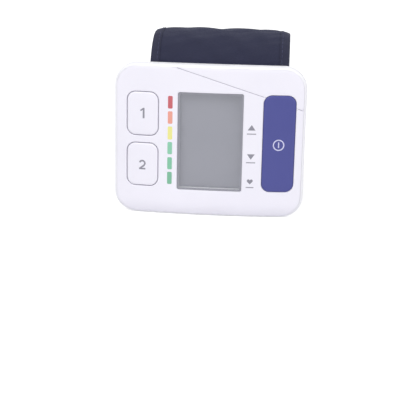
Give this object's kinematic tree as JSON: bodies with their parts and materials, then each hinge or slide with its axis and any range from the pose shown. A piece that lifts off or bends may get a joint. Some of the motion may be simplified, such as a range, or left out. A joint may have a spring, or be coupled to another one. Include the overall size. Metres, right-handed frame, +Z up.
{
  "type": "wrist blood pressure monitor",
  "caption": "Wrist blood pressure monitor: a white bowed housing with a grey display, a long start button and memory buttons, on a closed navy wrist cuff.",
  "frame": {"origin": "on the surface that the unit stands on, under the middle of the object's box", "axes": "+Z up the display, -Y the way the display faces, +X to the right of someone who reads it; the wrist passes through the cuff along X"},
  "size_m": [0.084, 0.0931, 0.0775],
  "materials": {
    "white_shell": "satin moulded plastic",
    "blue_button": "satin moulded plastic, violet blue",
    "window_clear": "clear hard-coated window",
    "display_glass": "grey reflective display cell",
    "dark_frame": "matt",
    "chip_black": "matt",
    "board_green": "solder mask",
    "grey_plastic": "matt moulded plastic",
    "plated_metal": "nickel plated",
    "motor_steel": "drawn steel can",
    "cell_wrap": "printed film wrap",
    "silicone": "translucent silicone",
    "cuff_cloth": "brushed loop cloth, navy",
    "lining_cloth": "smooth woven nylon, navy",
    "edge_tape": "woven binding tape, navy",
    "hook_patch": "hook tape",
    "curler_plastic": "thin springy sheet",
    "bladder_film": "soft film"
  },
  "bodies": {
    "unit": {"front_cover": "white_shell", "face_panel": "white_shell", "display_window": "window_clear", "lcd_panel": "display_glass", "lcd_frame": "dark_frame", "lcd_connector": "chip_black", "circuit_board": "board_green", "start_switch": "chip_black", "memory_1_switch": "chip_black", "memory_2_switch": "chip_black", "main_chip": "chip_black", "buzzer": "chip_black", "pressure_sensor": "grey_plastic", "rear_cover": "white_shell", "battery_1": "cell_wrap", "battery_2": "cell_wrap", "contact_bridge": "plated_metal", "contact_positive": "plated_metal", "contact_negative": "plated_metal", "housing_screw_1": "plated_metal", "housing_screw_2": "plated_metal", "housing_screw_3": "plated_metal", "housing_screw_4": "plated_metal", "pump_head": "grey_plastic", "pump_motor": "motor_steel", "exhaust_valve": "motor_steel", "air_manifold": "grey_plastic", "air_tube_pump": "silicone", "air_tube_sensor": "silicone", "air_tube_valve": "silicone", "air_tube_cuff": "silicone", "cuff_nipple": "grey_plastic", "cuff_plate": "grey_plastic", "cuff_screw_1": "plated_metal", "cuff_screw_2": "plated_metal", "cuff_outer_cloth": "cuff_cloth", "cuff_curler": "curler_plastic", "cuff_bladder": "bladder_film", "cuff_lining": "lining_cloth", "cuff_edge_left": "edge_tape", "cuff_edge_right": "edge_tape"},
    "start_key": {"start_button": "blue_button", "start_plunger": "grey_plastic"},
    "memory_key_1": {"memory_button_1": "white_shell", "memory_1_plunger": "grey_plastic"},
    "memory_key_2": {"memory_button_2": "white_shell", "memory_2_plunger": "grey_plastic"},
    "battery_door": {"battery_cover": "white_shell"},
    "strap": {"strap_outer_cloth": "cuff_cloth", "strap_curler": "curler_plastic", "strap_lining": "lining_cloth", "strap_edge_left": "edge_tape", "strap_edge_right": "edge_tape"},
    "flap": {"flap_cloth": "cuff_cloth", "flap_hook_patch": "hook_patch"}
  },
  "joints": [
    {"name": "start_press", "type": "slide", "parent": "unit", "child": "start_key", "axis": [0, 1, 0], "range_m": [0, 0.0006], "stiffness_N_per_m": 900, "springref_m": -0.0008},
    {"name": "memory_press_1", "type": "slide", "parent": "unit", "child": "memory_key_1", "axis": [0, 1, 0], "range_m": [0, 0.0006], "stiffness_N_per_m": 900, "springref_m": -0.0008},
    {"name": "memory_press_2", "type": "slide", "parent": "unit", "child": "memory_key_2", "axis": [0, 1, 0], "range_m": [0, 0.0006], "stiffness_N_per_m": 900, "springref_m": -0.0008},
    {"name": "battery_cover_slide", "type": "slide", "parent": "unit", "child": "battery_door", "axis": [-1, 0, 0], "range_m": [0, 0.015]},
    {"name": "strap_open", "type": "hinge", "parent": "unit", "child": "strap", "pos_m": [0.0017, -0.01432, 0.06746], "axis": [1, 0, 0], "range_deg": [0, 60]},
    {"name": "flap_peel", "type": "hinge", "parent": "strap", "child": "flap", "pos_m": [0.0017, 0.04104, 0.05933], "axis": [1, 0, 0], "range_deg": [0, 60]}
  ]
}
